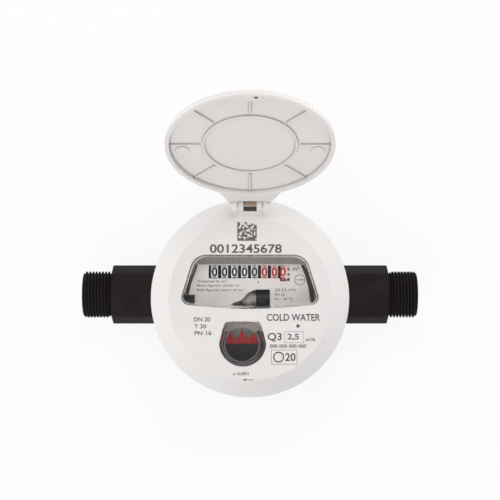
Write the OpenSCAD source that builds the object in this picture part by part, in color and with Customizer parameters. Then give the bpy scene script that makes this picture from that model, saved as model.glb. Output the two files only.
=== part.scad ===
// Water meter with a rotary piston, a magnetic drive, a roller register and a hinged lid.
// The pipe runs along X from the inlet at -X to the outlet at +X, and the base stands on z = 0.

/* [Body] */
// Lay length between the two pipe ends
lay_length = 190; // [180:1:220]
// Height of the pipe axis above the base
pipe_height = 27; // [25:0.5:29]
// Outer diameter of the pipe thread
thread_d = 26.44; // [26:0.01:27]
// Length of the threaded end with its relief
thread_length = 16.7; // [14:0.1:20]
// Octagon of the pipe ends, across corners
spud_d = 33.4; // [32:0.1:36]
// Diameter of the water passage
bore_d = 17; // [13:0.5:18]
// Outer diameter of the bowl
bowl_d = 92; // [90:1:100]

/* [Measuring chamber] */
// Inner diameter of the measuring chamber
chamber_d = 62; // [56:1:63]
// Inner height of the measuring chamber
chamber_h = 26; // [24:1:30]
// Eccentricity of the piston
eccentric = 3.4; // [3:0.1:3.6]

/* [Register] */
// Height from the pressure plate to the dial
register_h = 34.5; // [34:0.5:40]
// Radius of the number rollers
roller_r = 8.6; // [8.2:0.1:8.7]
// Spacing of the number rollers
roller_pitch = 5.29; // [5.2:0.01:5.4]
// Width of a roller's printed band
drum_w = 3.7; // [3.5:0.1:3.8]
// Radius of the indicator disc
indicator_r = 8.5; // [7:0.1:9]

/* [Shroud] */
// Depth of the dial below the face
window_depth = 14.5; // [13:0.5:20]
// Height of the sloping edge
bevel_h = 13; // [10:0.5:15]
// Width of the sloping edge seen from above
bevel_w = 9.9; // [8:0.1:11]
// Wall thickness
shroud_t = 2.2; // [2:0.1:2.6]

/* [Lid] */
// Radius of the lid
lid_r = 41.4; // [40:0.1:42.5]
// Overall thickness of the lid
lid_t = 4; // [3.6:0.1:5]
// Angle at which the open lid rests
lid_open = 122; // [90:1:130]

/* [Hidden] */
$fn = 72;
// Running clearance of shafts and pins
run = 0.06;

// Heights of the stack, from the base upward
floor_t = 5;
chamber_z = floor_t + 4;
chamber_floor = chamber_z + 3;
chamber_top = chamber_floor + chamber_h;
chamber_mid = chamber_floor + chamber_h / 2;
cover_top = chamber_top + 4;
plate_z = cover_top + 7;
plate_top = plate_z + 4;
body_top = plate_top + 5;
dial_top = plate_top + register_h;
roller_z = dial_top - 1.2 - roller_r;
face_z = dial_top + window_depth;
rim_z = face_z - bevel_h;
joint_z = plate_top + 19;
lens_top = face_z - 2.6;

// Radii from the bowl outward and inward
bowl_r = bowl_d / 2;
cavity_r = bowl_r - 7;
rebate_r = bowl_r - 4;
register_r = bowl_r - 4.5;
ring_r = bowl_r + 4.6;
skirt_r = bowl_r + 7.5;
rim_r = bowl_r + 6.5;
face_r = rim_r - bevel_w;

// Pipe ends
end_x = lay_length / 2;
shoulder_x = end_x - thread_length;
relief_w = 1.2;
thread_r = thread_d / 2;
bore_r = bore_d / 2;

// Measuring chamber: the piston rolls between two rings and a plate divides inlet from outlet
chamber_r = chamber_d / 2;
piston_gap = 0.12;
piston_r = chamber_r - eccentric - piston_gap;
piston_in = piston_r - 2.2;
hub_ring_r = piston_in - eccentric - piston_gap;
web_t = 2;
peg_r = 1.7;
roller_post_r = 0.8;
control_r = eccentric - peg_r - 0.1;
divider_t = 1.5;
divider_a = 32;
inlet_a = 68;

// Register layout, seen from above about the meter's axis
roller_y = 13.9;
roller_x = 2.39;
roller_count = 8;
last_drum_w = 4.6;
ring_teeth = 20;
ring_module = 0.68;
carry_teeth = 8;
carry_a = -40;
carry_d = ring_module * (ring_teeth + carry_teeth) / 2;
carry_y = roller_y + carry_d * cos(carry_a);
carry_z = roller_z + carry_d * sin(carry_a);
flange_w = (roller_pitch - drum_w - 0.19) / 2;
roller_shaft_r = 1.3;
carry_shaft_r = 0.8;
last_x = roller_x + 3 * roller_pitch - drum_w / 2;
drive_x = last_x + last_drum_w;
end_teeth = 24;
side_teeth = 28;
side_module = 2 * roller_y / (end_teeth + side_teeth);
side_w = 1.5;
shaft_r = 1.2;
cheek_x = drive_x + side_w + 0.6;
left_x = last_x - (roller_count - 1) * roller_pitch - flange_w - 0.4;
train_module = 0.6;
pinion_teeth = 14;
wheel_teeth = 40;
idler_teeth = 12;
indicator_teeth = 36;
train_d = train_module * (pinion_teeth + wheel_teeth) / 2;
idler_d = train_module * (idler_teeth + indicator_teeth) / 2;
indicator_x = -4.3;
indicator_y = -24.4;
indicator_d = norm([indicator_x, indicator_y]);
along = (train_d * train_d - idler_d * idler_d + indicator_d * indicator_d) / (2 * indicator_d);
across = sqrt(train_d * train_d - along * along);
idler_x = (along * indicator_x - across * indicator_y) / indicator_d;
idler_y = (along * indicator_y + across * indicator_x) / indicator_d;
crown_teeth = 16;
crown_pinion_teeth = 12;
crown_r = 4.4;
crown_pinion_r = crown_r * crown_pinion_teeth / crown_teeth;
crown_x = -train_d + crown_r;
crown_z = roller_z - crown_pinion_r;
post_r = 1;
train_z = plate_top + 9.4;
idler_z = train_z + 3.6;

// Hinge of the lid
hinge_y = rim_r - 3.5;
hinge_z = face_z + 3.5;
hinge_pin_r = 1.2;
barrel_r = 3.5;
ear_r = 4.2;
tongue_w = 12.9;
ear_w = 3.1;
lid_z = face_z + 0.3;
lid_ring_r = lid_r - 18.3;
lid_shift = 5;
hinge_half = tongue_w / 2 + ear_w + 2.45;
rim_w = 2.2;

// Outline helpers: a polygon whose corners [x, y, radius] become arcs
function unit(v) = v / norm(v);
function corner_arc(a, b, c, r, n) =
    r == 0 ? [b] :
    let (u = unit(a - b), v = unit(c - b), half = acos(u * v) / 2,
         o = b + unit(u + v) * r / sin(half),
         p = b + u * r / tan(half) - o, q = b + v * r / tan(half) - o,
         from = atan2(p.y, p.x), sweep = (atan2(q.y, q.x) - from + 540) % 360 - 180)
    [for (i = [0:n]) o + r * [cos(from + sweep * i / n), sin(from + sweep * i / n)]];
function flat(p) = [p[0], p[1]];
function rounded(pts, n = 6) =
    let (k = len(pts))
    [for (i = [0:k - 1])
        each corner_arc(flat(pts[(i + k - 1) % k]), flat(pts[i]), flat(pts[(i + 1) % k]), pts[i][2], n)];

// Involute gear outline with stub teeth, thinned by the backlash, with tooth 0 along +X
pressure = 25;
backlash = 0.12;
function inv(a) = tan(a) * 180 / PI - a;
function half_tooth(r, m, z) =
    let (rp = m * z / 2)
    90 / z - backlash / rp * 90 / PI + inv(pressure) - inv(acos(min(1, rp * cos(pressure) / r)));
function gear_points(m, z) =
    let (rp = m * z / 2, tip = rp + 0.8 * m, root = rp - 1.1 * m,
         base = max(root, rp * cos(pressure)), mid = (base + tip) / 2)
    [for (i = [0:z - 1])
        let (c = 360 * i / z)
        for (p = [[root, -half_tooth(base, m, z)], [base, -half_tooth(base, m, z)],
                  [mid, -half_tooth(mid, m, z)], [tip, -half_tooth(tip, m, z)],
                  [tip, half_tooth(tip, m, z)], [mid, half_tooth(mid, m, z)],
                  [base, half_tooth(base, m, z)], [root, half_tooth(base, m, z)]])
            p[0] * [cos(c + p[1]), sin(c + p[1])]];

// Gear of z teeth and width w, turned so that tooth 0 points at the angle a
module gear(m, z, w, a = 0) {
    rotate(a) linear_extrude(w) polygon(gear_points(m, z));
}

// Lays a shape that stands on Z along X, at x, with its own +X pointing along +Y
module along_x(x, y, z) {
    translate([x, y, z]) rotate([90, 0, 90]) children();
}

// Round bar along X
module bar_x(x0, x1, y, z, r) {
    along_x(x0, y, z) cylinder(r = r, h = x1 - x0);
}

// Ring about Z
module ring(r_out, r_in, z0, z1) {
    translate([0, 0, z0])
        difference() {
            cylinder(r = r_out, h = z1 - z0);
            translate([0, 0, -1]) cylinder(r = r_in, h = z1 - z0 + 2);
        }
}

// Seal ring of round section about Z
module seal_ring(r, cord_r, z) {
    translate([0, 0, z]) rotate_extrude() translate([r, 0]) circle(r = cord_r, $fn = 24);
}

// Main window outline: a trapezoid with round corners and a bowed lower edge
module main_window(gap) {
    half_top = 29 - gap;
    half_low = 37 - gap;
    top_y = 23.1 - gap;
    low_y = -2.6 + gap;
    bow_y = -6.4 + gap;
    polygon(rounded([
        [half_low, low_y, 4], [half_top, top_y, 8.5], [-half_top, top_y, 8.5],
        [-half_low, low_y, 4], [0, bow_y, 240]
    ]));
}

// Indicator window outline: a round with a flat upper edge
module indicator_window(gap) {
    round_r = 12.2 - gap;
    top_y = 11.4 - gap;
    top_w = 9.4 - gap;
    translate([-3.8, -23])
        polygon(rounded([
            for (a = [180:7.5:360]) [round_r * cos(a), round_r * sin(a), 0],
            [top_w, top_y, 2.4], [-top_w, top_y, 2.4]
        ]));
}

// Pressure body: bowl, octagonal pipe ends and threads moulded in one piece
module meter_body() {
    color([0.12, 0.12, 0.13])
    union() {
        ring(chamber_r - 1, chamber_r - 11, floor_t - 1, chamber_z);
        difference() {
            body_form();
            translate([0, 0, floor_t]) cylinder(r = cavity_r, h = body_top);
            translate([0, 0, plate_z]) cylinder(r = rebate_r, h = body_top);
            for (side = [0, 180])
                rotate(side) bar_x(cavity_r - 3, end_x + 1, 0, pipe_height, bore_r);
            bar_x(-end_x - 1, -end_x + 2.2, 0, pipe_height, bore_r + 1.5);
        }
    }
}

// Outside of the body as one solid form
module body_form() {
    rib_z = floor_t + 11;
    band_z = body_top - 18;
    rotate_extrude()
        polygon(rounded([
            [0, 0, 0], [bowl_r - 7, 0, 1], [bowl_r - 0.5, 10, 4],
            [bowl_r, body_top, 0.6], [0, body_top, 0]
        ]));
    for (a = [15:15:345])
        if (abs(a % 180 - 90) < 70)
            rotate(a) translate([bowl_r - 6, -1.2, rib_z]) cube([7.2, 2.4, band_z + 2 - rib_z]);
    ring(bowl_r + 1.6, bowl_r - 3, band_z, band_z + 4);
    for (side = [0, 180])
        rotate(side) pipe_end();
}

// Octagonal pipe end toward +X, with a turned chamfer, a relief groove and the thread cylinder
module pipe_end() {
    intersection() {
        translate([0, 0, pipe_height]) rotate([0, 90, 0]) cylinder(d = spud_d, h = shoulder_x, $fn = 8);
        along_x(0, 0, pipe_height) {
            cylinder(d = spud_d + 1, h = shoulder_x - 0.6);
            translate([0, 0, shoulder_x - 0.6])
                cylinder(r1 = spud_d / 2 + 0.2, r2 = spud_d / 2 - 0.4, h = 0.6);
        }
    }
    bar_x(shoulder_x - 1, shoulder_x + relief_w + 0.5, 0, pipe_height, thread_r - 1.2);
    bar_x(shoulder_x + relief_w, end_x - 1, 0, pipe_height, thread_r);
    along_x(end_x - 1, 0, pipe_height) cylinder(r1 = thread_r, r2 = thread_r - 1, h = 1);
}

// Thimble strainer with a flange in the inlet mouth
module inlet_strainer() {
    tube_r = bore_r - 0.2;
    tube_l = 26;
    color([0.75, 0.76, 0.74])
    along_x(-end_x + 0.2, 0, pipe_height)
        difference() {
            union() {
                cylinder(r = bore_r + 1.4, h = 2);
                cylinder(r = tube_r, h = tube_l);
            }
            translate([0, 0, -1]) cylinder(r = tube_r - 1.2, h = tube_l - 0.2);
            for (a = [0:36:324])
                rotate(a) translate([tube_r - 2.5, -0.8, 4]) cube([5, 1.6, tube_l - 8]);
            for (a = [0:60:300])
                rotate(a) translate([bore_r - 4.1, 0, tube_l - 6]) cylinder(r = 1.1, h = 10);
            translate([0, 0, tube_l - 6]) cylinder(r = 1.1, h = 10);
        }
}

// Slot for the division plate, along the direction of the divider
module divider_slot(r0, r1, w, z0, z1) {
    rotate(divider_a) translate([r0, -w / 2, z0]) cube([r1 - r0, w, z1 - z0]);
}

// Chamber cup with its lower hub ring, control post and outlet nozzle
module chamber_base() {
    nozzle_r = bore_r - 0.3;
    color([0.86, 0.86, 0.83])
    difference() {
        union() {
            translate([0, 0, chamber_z]) cylinder(r = chamber_r + 3, h = chamber_top - chamber_z);
            bar_x(chamber_r, cavity_r + 4, 0, pipe_height, nozzle_r);
        }
        difference() {
            translate([0, 0, chamber_floor]) cylinder(r = chamber_r, h = chamber_h + 1);
            ring(hub_ring_r, hub_ring_r - 2.3, chamber_floor - 1, chamber_mid - web_t / 2 - 0.3);
            translate([0, 0, chamber_floor - 1]) cylinder(r = roller_post_r, h = 8);
        }
        bar_x(chamber_r - 2, cavity_r + 5, 0, pipe_height, nozzle_r - 1.8);
        along_x(cavity_r + 1.2, 0, pipe_height)
            difference() {
                cylinder(r = nozzle_r + 1, h = 1.6);
                translate([0, 0, -1]) cylinder(r = nozzle_r - 0.9, h = 4);
            }
        rotate(inlet_a) translate([chamber_r - 2, -5, chamber_floor + 4]) cube([8, 10, chamber_h - 8]);
        divider_slot(hub_ring_r - 0.6, chamber_r + 1, divider_t, chamber_floor, chamber_top + 1);
    }
}

// Rubber ring round the outlet nozzle
module outlet_seal() {
    color([0.08, 0.08, 0.08])
    along_x(cavity_r + 2, 0, pipe_height)
        rotate_extrude() translate([bore_r - 0.6, 0]) circle(r = 0.58, $fn = 24);
}

// Stainless plate between the inlet and the outlet side
module division_plate() {
    color([0.72, 0.73, 0.75])
        divider_slot(hub_ring_r - 0.5, chamber_r + 0.9, divider_t - 0.04, chamber_floor, chamber_top);
}

// Roller that guides the piston's lower peg
module control_roller() {
    color([0.9, 0.88, 0.8])
        ring(control_r, roller_post_r + run, chamber_floor + 0.3, chamber_floor + 6.5);
}

// Piston: an H-section ring with a perforated web, a slot for the division plate and two pegs
module piston() {
    color([0.2, 0.2, 0.21])
    translate([eccentric, 0, 0]) {
        difference() {
            union() {
                ring(piston_r, piston_in, chamber_floor + 0.15, chamber_top - 0.15);
                translate([0, 0, chamber_mid - web_t / 2]) cylinder(r = piston_in + 0.5, h = web_t);
            }
            divider_slot(hub_ring_r - eccentric - 1.5, piston_r + 2,
                         divider_t + 2 * eccentric + 0.6, 0, chamber_top + 1);
            for (a = [divider_a + 60:60:divider_a + 300])
                rotate(a) translate([13.5, 0, 0]) cylinder(r = 3, h = chamber_top);
        }
        translate([0, 0, chamber_floor + 0.4])
            cylinder(r = peg_r, h = chamber_top + 2.6 - chamber_floor);
    }
}

// Chamber lid with the upper hub ring and the opening for the driver
module chamber_lid() {
    color([0.86, 0.86, 0.83])
    difference() {
        union() {
            translate([0, 0, chamber_top]) cylinder(r = chamber_r + 3, h = cover_top - chamber_top);
            ring(hub_ring_r, hub_ring_r - 2.3, chamber_mid + web_t / 2 + 0.3, chamber_top + 1);
        }
        translate([0, 0, chamber_top - 1]) cylinder(r = 8, h = 8);
        divider_slot(hub_ring_r - 0.6, hub_ring_r + 1, divider_t, 0, chamber_top);
    }
}

// Driver turned by the piston's upper peg
module driver() {
    color([0.82, 0.8, 0.72])
    difference() {
        union() {
            translate([0, 0, chamber_top + 0.6]) cylinder(r = 7.6, h = 3.8);
            translate([0, 0, chamber_top + 4]) cylinder(r = 4, h = 6);
        }
        translate([eccentric, 0, chamber_top]) cylinder(r = peg_r + run, h = 3.4);
        translate([0, 0, chamber_top + 3.9]) cylinder(r = 1.5 + run, h = 8);
    }
}

// Ring magnet on the driver
module drive_magnet() {
    color([0.25, 0.25, 0.27])
        ring(9.4, 4.02, chamber_top + 4.5, chamber_top + 9.8);
}

// Plate that closes the wet side, with the pivot of the driver
module pressure_plate() {
    color([0.16, 0.16, 0.17])
    difference() {
        union() {
            translate([0, 0, plate_z]) cylinder(r = rebate_r - 0.3, h = plate_top - plate_z);
            translate([0, 0, chamber_top + 4.1]) cylinder(r = 1.5, h = plate_z - chamber_top - 3);
            ring(chamber_r + 3, chamber_r - 1, cover_top, plate_z + 1);
        }
        ring(rebate_r + 2, rebate_r - 2.1, plate_z + 1, plate_z + 3);
    }
}

// Rubber ring of the pressure plate
module plate_seal() {
    color([0.08, 0.08, 0.08]) seal_ring(rebate_r - 1.04, 0.99, plate_z + 2);
}

// Screwed ring that holds the register on the bowl
module lock_ring() {
    color([0.12, 0.12, 0.13])
    difference() {
        union() {
            ring(ring_r, bowl_r + 0.2, body_top - 8, body_top + 6);
            ring(ring_r, register_r + 0.7, body_top + 3, body_top + 6);
        }
        for (a = [0:15:345])
            rotate(a) translate([ring_r - 1, -1.6, body_top - 9]) cube([4, 3.2, 6]);
    }
}

// Register cup with the posts that the gears run on
module register_base() {
    color([0.16, 0.16, 0.17]) {
        difference() {
            union() {
                translate([0, 0, plate_top]) cylinder(r = register_r, h = joint_z - plate_top);
                translate([0, 0, body_top]) cylinder(r = register_r + 4, h = 3);
            }
            translate([0, 0, plate_top + 2]) cylinder(r = register_r - 2.2, h = joint_z);
        }
        translate([0, 0, plate_top + 1]) cylinder(r = post_r, h = 13);
        gear_post(-train_d, 0, crown_z - 0.9, train_z - 0.2);
        gear_post(idler_x, idler_y, idler_z + 3, train_z - 0.2);
        gear_post(indicator_x, indicator_y, dial_top - 3.4, train_z + 2.4);
    }
}

// Post up to the height z1, with a shoulder that carries a gear at the height z0
module gear_post(x, y, z1, z0) {
    translate([x, y, plate_top + 1]) {
        cylinder(r = post_r, h = z1 - plate_top - 1);
        cylinder(r = post_r + 0.6, h = z0 - plate_top - 1);
    }
}

// Follower spindle with the first pinion
module follower_spindle() {
    color([0.9, 0.9, 0.88])
    difference() {
        union() {
            translate([0, 0, plate_top + 2.4]) cylinder(r = 3, h = 6.6);
            translate([0, 0, plate_top + 8.8]) gear(train_module, pinion_teeth, 3.2);
        }
        translate([0, 0, plate_top]) cylinder(r = post_r + run, h = 20);
    }
}

// Ring magnet on the follower spindle
module follower_magnet() {
    color([0.25, 0.25, 0.27]) ring(9, 3.02, plate_top + 3.2, plate_top + 8);
}

// Wheel driven by the follower, with crown teeth on its upper face
module transfer_gear() {
    crown_top = crown_z - 0.75;
    color([0.9, 0.9, 0.88])
    translate([-train_d, 0, 0]) {
        difference() {
            union() {
                translate([0, 0, train_z]) gear(train_module, wheel_teeth, 2, 180 / wheel_teeth);
                translate([0, 0, train_z]) cylinder(r = 3, h = crown_top - train_z);
                translate([0, 0, crown_top - 1.6]) cylinder(r = crown_r + 0.85, h = 1.6);
                for (i = [0:crown_teeth - 1])
                    rotate(360 * (i + 0.5) / crown_teeth) crown_tooth(crown_top);
            }
            translate([0, 0, plate_top]) cylinder(r = post_r + run, h = register_h);
        }
    }
}

// One crown tooth, radial, with sloping flanks, standing on the flange at z
module crown_tooth(z) {
    low = 0.46;
    top = 0.2;
    translate([crown_r - 0.85, 0, z - 0.2]) rotate([90, 0, 90])
        linear_extrude(1.7)
            polygon([[-low, 0], [low, 0], [low, 0.2], [top, 1.35], [-top, 1.35], [-low, 0.2]]);
}

// Idler between the follower and the indicator
module idler_gear() {
    toward_follower = atan2(-idler_y, -idler_x);
    toward_indicator = atan2(indicator_y - idler_y, indicator_x - idler_x);
    pinion_a = atan2(idler_y, idler_x);
    pinion_step = 360 / pinion_teeth;
    part_step = pinion_a / pinion_step - floor(pinion_a / pinion_step);
    phase = part_step * pinion_teeth / wheel_teeth * pinion_step;
    color([0.88, 0.87, 0.82])
    translate([idler_x, idler_y, 0])
        difference() {
            union() {
                translate([0, 0, train_z])
                    gear(train_module, wheel_teeth, 2, toward_follower + 180 / wheel_teeth + phase);
                translate([0, 0, train_z]) cylinder(r = 2.6, h = idler_z - train_z);
                translate([0, 0, idler_z]) gear(train_module, idler_teeth, 2.4, toward_indicator);
            }
            translate([0, 0, plate_top]) cylinder(r = post_r + run, h = register_h);
        }
}

// Wheel and sleeve that turn the indicator disc
module indicator_gear() {
    toward_idler = atan2(idler_y - indicator_y, idler_x - indicator_x);
    color([0.88, 0.87, 0.82])
    translate([indicator_x, indicator_y, 0])
        difference() {
            union() {
                translate([0, 0, idler_z + 0.2])
                    gear(train_module, indicator_teeth, 2, toward_idler + 180 / indicator_teeth);
                translate([0, 0, train_z + 2.6]) cylinder(r = 2.4, h = dial_top - 3.8 - train_z);
            }
            translate([0, 0, plate_top]) cylinder(r = post_r + run, h = dial_top - 3 - plate_top);
        }
}

// Indicator disc at the level of the dial
module indicator_disc() {
    color([0.78, 0.16, 0.13])
    translate([indicator_x, indicator_y, dial_top - 1.2])
        difference() {
            cylinder(r = indicator_r, h = 1);
            for (side = [-1, 1])
                translate([0, 0, -1])
                    linear_extrude(3)
                        polygon([
                            [side * 3.05, 1.7], [side * 0.3, indicator_r - 1.4],
                            [side * 0.3, indicator_r + 1], [side * (indicator_r - 0.5), indicator_r + 1]
                        ]);
        }
}

// Half-moon target plate on the indicator disc
module indicator_plate() {
    color([0.3, 0.3, 0.31])
    translate([indicator_x, indicator_y, dial_top - 0.2])
        difference() {
            cylinder(r = indicator_r - 0.2, h = 0.4);
            translate([-20, 0.4, -1]) cube([40, 20, 3]);
        }
}

// Horizontal shaft below the dial
module drive_shaft() {
    color([0.75, 0.76, 0.78]) bar_x(crown_x - 3.4, cheek_x + 1.7, 0, roller_z, shaft_r);
}

// Black drum on the shaft
module shaft_drum() {
    color([0.1, 0.1, 0.1])
    along_x(3.2, 0, roller_z)
        difference() {
            cylinder(r = 4.9, h = 6.9);
            translate([0, 0, -1]) cylinder(r = shaft_r, h = 10);
        }
}

// Grey stepped hub beside the drum
module shaft_hub() {
    color([0.45, 0.44, 0.43])
    along_x(-9.6, 0, roller_z)
        difference() {
            rotate_extrude()
                polygon(rounded([
                    [0, 0, 0], [2, 0, 0.9], [2.6, 4.6, 0.2], [3.4, 5.4, 0], [4.4, 8.2, 1.2],
                    [4.4, 10.6, 0.2], [3.6, 10.7, 0], [3.6, 12.8, 0], [0, 12.8, 0]
                ]));
            translate([0, 0, -1]) cylinder(r = shaft_r, h = 20);
        }
}

// Pinion driven by the crown teeth
module crown_pinion() {
    color([0.9, 0.9, 0.88])
    along_x(crown_x - 0.7, 0, roller_z)
        difference() {
            gear(2 * crown_pinion_r / crown_pinion_teeth, crown_pinion_teeth, 1.4, -90);
            translate([0, 0, -1]) cylinder(r = shaft_r, h = 4);
        }
}

// Pinion that turns the last roller
module end_pinion() {
    color([0.9, 0.9, 0.88])
    along_x(drive_x + 0.1, 0, roller_z)
        difference() {
            gear(side_module, end_teeth, side_w - 0.2, 0);
            translate([0, 0, -1]) cylinder(r = shaft_r, h = 4);
        }
}

// Fixed shaft of the number rollers
module roller_shaft() {
    color([0.75, 0.76, 0.78]) bar_x(left_x - 1.7, cheek_x + 1.7, roller_y, roller_z, roller_shaft_r);
}

// Fixed shaft of the carry pinions
module pinion_shaft() {
    color([0.75, 0.76, 0.78]) bar_x(left_x - 1.7, cheek_x + 1.7, carry_y, carry_z, carry_shaft_r);
}

// Left edge of the printed band of roller k, counted from the outlet side
function drum_left(k) = last_x - (k - 1) * roller_pitch;

// Number roller k: printed drum, carry ring toward the lower digit, lock disc toward the higher one
module number_roller(k) {
    wide = k == 1 ? last_drum_w : drum_w;
    left = drum_left(k);
    color(k <= 3 ? [0.95, 0.82, 0.8] : [0.92, 0.92, 0.9])
    along_x(left, roller_y, roller_z)
        difference() {
            union() {
                cylinder(r = roller_r, h = wide);
                translate([0, 0, -flange_w]) cylinder(r = 5.9, h = flange_w + 0.2);
                translate([0, 0, wide - 0.1])
                    if (k == 1)
                        gear(side_module, side_teeth, side_w + 0.1, 180 + 180 / side_teeth);
                    else
                        gear(ring_module, ring_teeth, flange_w + 0.1, carry_a);
            }
            translate([0, 0, -3]) cylinder(r = roller_shaft_r + run, h = 20);
        }
}

// Carry pinion between the rollers k and k + 1
module carry_pinion(k) {
    gap = roller_pitch - drum_w;
    color([0.88, 0.87, 0.82])
    along_x(drum_left(k) - gap + 0.1, carry_y, carry_z)
        difference() {
            gear(ring_module, carry_teeth, gap - 0.2, carry_a + 180 + 180 / carry_teeth);
            translate([0, 0, -1]) cylinder(r = carry_shaft_r + run, h = 5);
        }
}

// Frame of the mechanism: upper plate, pillars and the cheeks that hold the shafts
module mechanism_frame() {
    plate_low = dial_top - 3;
    color([0.84, 0.84, 0.82])
    difference() {
        union() {
            translate([0, 0, plate_low]) cylinder(r = register_r - 3, h = 2);
            for (a = [25, 155, 216, 324])
                rotate(a) translate([register_r - 8.4, 0, plate_top + 2])
                    cylinder(r = 2.2, h = plate_low - plate_top - 1);
            for (x = [left_x - 1.8, cheek_x])
                translate([x, roller_y - 4, carry_z - 4])
                    cube([1.8, carry_y + 6.6 - roller_y, plate_low - carry_z + 5]);
            translate([cheek_x, -3, roller_z - 3]) cube([1.8, 16, plate_low - roller_z + 4]);
            translate([crown_x - 3.2, -2.8, roller_z - 2.2]) cube([1.6, 5.6, plate_low - roller_z + 3]);
        }
        dial_openings(plate_low - 1, 4, 0.8, 2.4);
        translate([drive_x - 0.3, -6, plate_low - 1]) cube([side_w + 0.6, roller_y + 12, 2.5]);
        bar_x(crown_x - 4, cheek_x + 3, 0, roller_z, shaft_r + run);
        bar_x(left_x - 3, cheek_x + 3, roller_y, roller_z, roller_shaft_r + 0.01);
        bar_x(left_x - 3, cheek_x + 3, carry_y, carry_z, carry_shaft_r + 0.01);
    }
}

// Openings of the dial for the rollers, the drive shaft and the indicator, widened by the margins
module dial_openings(z, h, margin, roller_margin) {
    top_half = 3.4 + roller_margin;
    slot_y = roller_y;
    translate([drum_left(roller_count) - 1.3 - margin, slot_y - top_half, z])
        cube([drive_x + 1.3 + 2 * margin - drum_left(roller_count), 2 * top_half, h]);
    translate([last_x - 0.6 - margin, slot_y - top_half - 1.6, z])
        cube([last_drum_w + 0.6 + 2 * margin, 3, h]);
    translate([0, 0, z])
        linear_extrude(h)
            polygon(rounded([
                [10.6 + margin, -8 - margin, 0], [10.6 + margin, 4.6 + margin, 0.4],
                [2.7 - margin, 4.6 + margin, 0.4], [-1 - margin, 2.8 + margin, 1.2],
                [-4.6 - margin, -1 + margin, 0.5], [-10 - margin, -3 + margin, 0.5],
                [-10 - margin, -8 - margin, 0]
            ]));
    translate([indicator_x, indicator_y, z]) cylinder(r = indicator_r + 0.6 + margin, h = h);
}

// Printed dial
module dial_plate() {
    color([0.83, 0.81, 0.8])
    difference() {
        translate([0, 0, dial_top - 1]) cylinder(r = register_r - 3, h = 1);
        dial_openings(dial_top - 2, 4, 0, 0);
    }
}

// Black clip that holds the edge of the dial
module dial_clip() {
    color([0.1, 0.1, 0.1])
    translate([7.3 - register_r, -2.2, dial_top])
        difference() {
            cube([5, 4, 3]);
            translate([-1, 1.2, 1]) cube([3.4, 1.6, 3]);
        }
}

// Rubber ring between the register cup and the lens
module lens_seal() {
    color([0.08, 0.08, 0.08]) ring(register_r, register_r - 2.2, joint_z, joint_z + 0.8);
}

// Clear cover with two hollow bosses that stand in the windows of the shroud
module register_lens() {
    gap = 0.5;
    wall = 2;
    boss_top = face_z - 0.5;
    hollow = boss_top - wall - lens_top + 4;
    color([0.85, 0.92, 0.95, 0.35])
    difference() {
        union() {
            translate([0, 0, joint_z + 0.8]) cylinder(r = register_r, h = lens_top - joint_z - 0.8);
            translate([0, 0, lens_top - 1]) linear_extrude(boss_top - lens_top + 1) main_window(gap);
            translate([0, 0, lens_top - 1]) linear_extrude(boss_top - lens_top + 1) indicator_window(gap);
        }
        translate([0, 0, joint_z]) cylinder(r = register_r - wall, h = lens_top - wall - joint_z);
        translate([0, 0, lens_top - 4]) linear_extrude(hollow) main_window(gap + wall);
        translate([0, 0, lens_top - 4]) linear_extrude(hollow) indicator_window(gap + wall);
    }
}

// Outer form of the shroud without its windows, reduced by the wall t
module shroud_form(t) {
    rotate_extrude()
        polygon(rounded([
            [0, body_top - 12 - (t > 0 ? 1 : 0), 0], [skirt_r - t, body_top - 12 - (t > 0 ? 1 : 0), 0],
            [rim_r - t, rim_z - t * 0.4, 2], [face_r - t * 0.3, face_z - t, 1], [0, face_z - t, 0]
        ]));
}

// White cover with the windows and the hinge tongue
module shroud() {
    tongue_low = rim_z + 1;
    color([0.9, 0.9, 0.89])
    difference() {
        union() {
            difference() {
                shroud_form(0);
                shroud_form(shroud_t);
            }
            intersection() {
                shroud_form(0.1);
                difference() {
                    translate([-11, face_r - 4, rim_z - 4]) cube([22, 20, bevel_h + 3]);
                    translate([0, 0, rim_z - 5]) cylinder(r = register_r + 0.8, h = bevel_h + 2.8);
                }
            }
            translate([-tongue_w / 2, 0, 0]) rotate([90, 0, 90])
                linear_extrude(tongue_w) {
                    polygon([
                        [face_r - 6, face_z - 1], [face_r - 6, face_z], [hinge_y - 5.4, face_z],
                        [hinge_y - 3, hinge_z], [hinge_y + 3, hinge_z], [hinge_y + 3.2, hinge_z - 2],
                        [rim_r - 0.6, tongue_low], [register_r + 1, tongue_low], [register_r + 1, face_z - 1]
                    ]);
                    translate([hinge_y, hinge_z]) circle(r = barrel_r);
                }
        }
        translate([0, 0, face_z - 8]) linear_extrude(16) main_window(0);
        translate([0, 0, face_z - 8]) linear_extrude(16) indicator_window(0);
        translate([-3.4, hinge_y - 3.4, hinge_z - 6.5]) cube([6.8, 4.9, 12]);
        bar_x(-hinge_half, hinge_half, hinge_y, hinge_z, hinge_pin_r);
        for (x = [-tongue_w / 2 - ear_w - 0.6, tongue_w / 2])
            bar_x(x, x + ear_w + 0.6, hinge_y, hinge_z, ear_r + 0.4);
    }
}

// Metal pin of the hinge
module hinge_pin() {
    half = tongue_w / 2 + 3.2;
    color([0.55, 0.45, 0.32]) bar_x(-half, half, hinge_y, hinge_z, hinge_pin_r);
}

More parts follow.
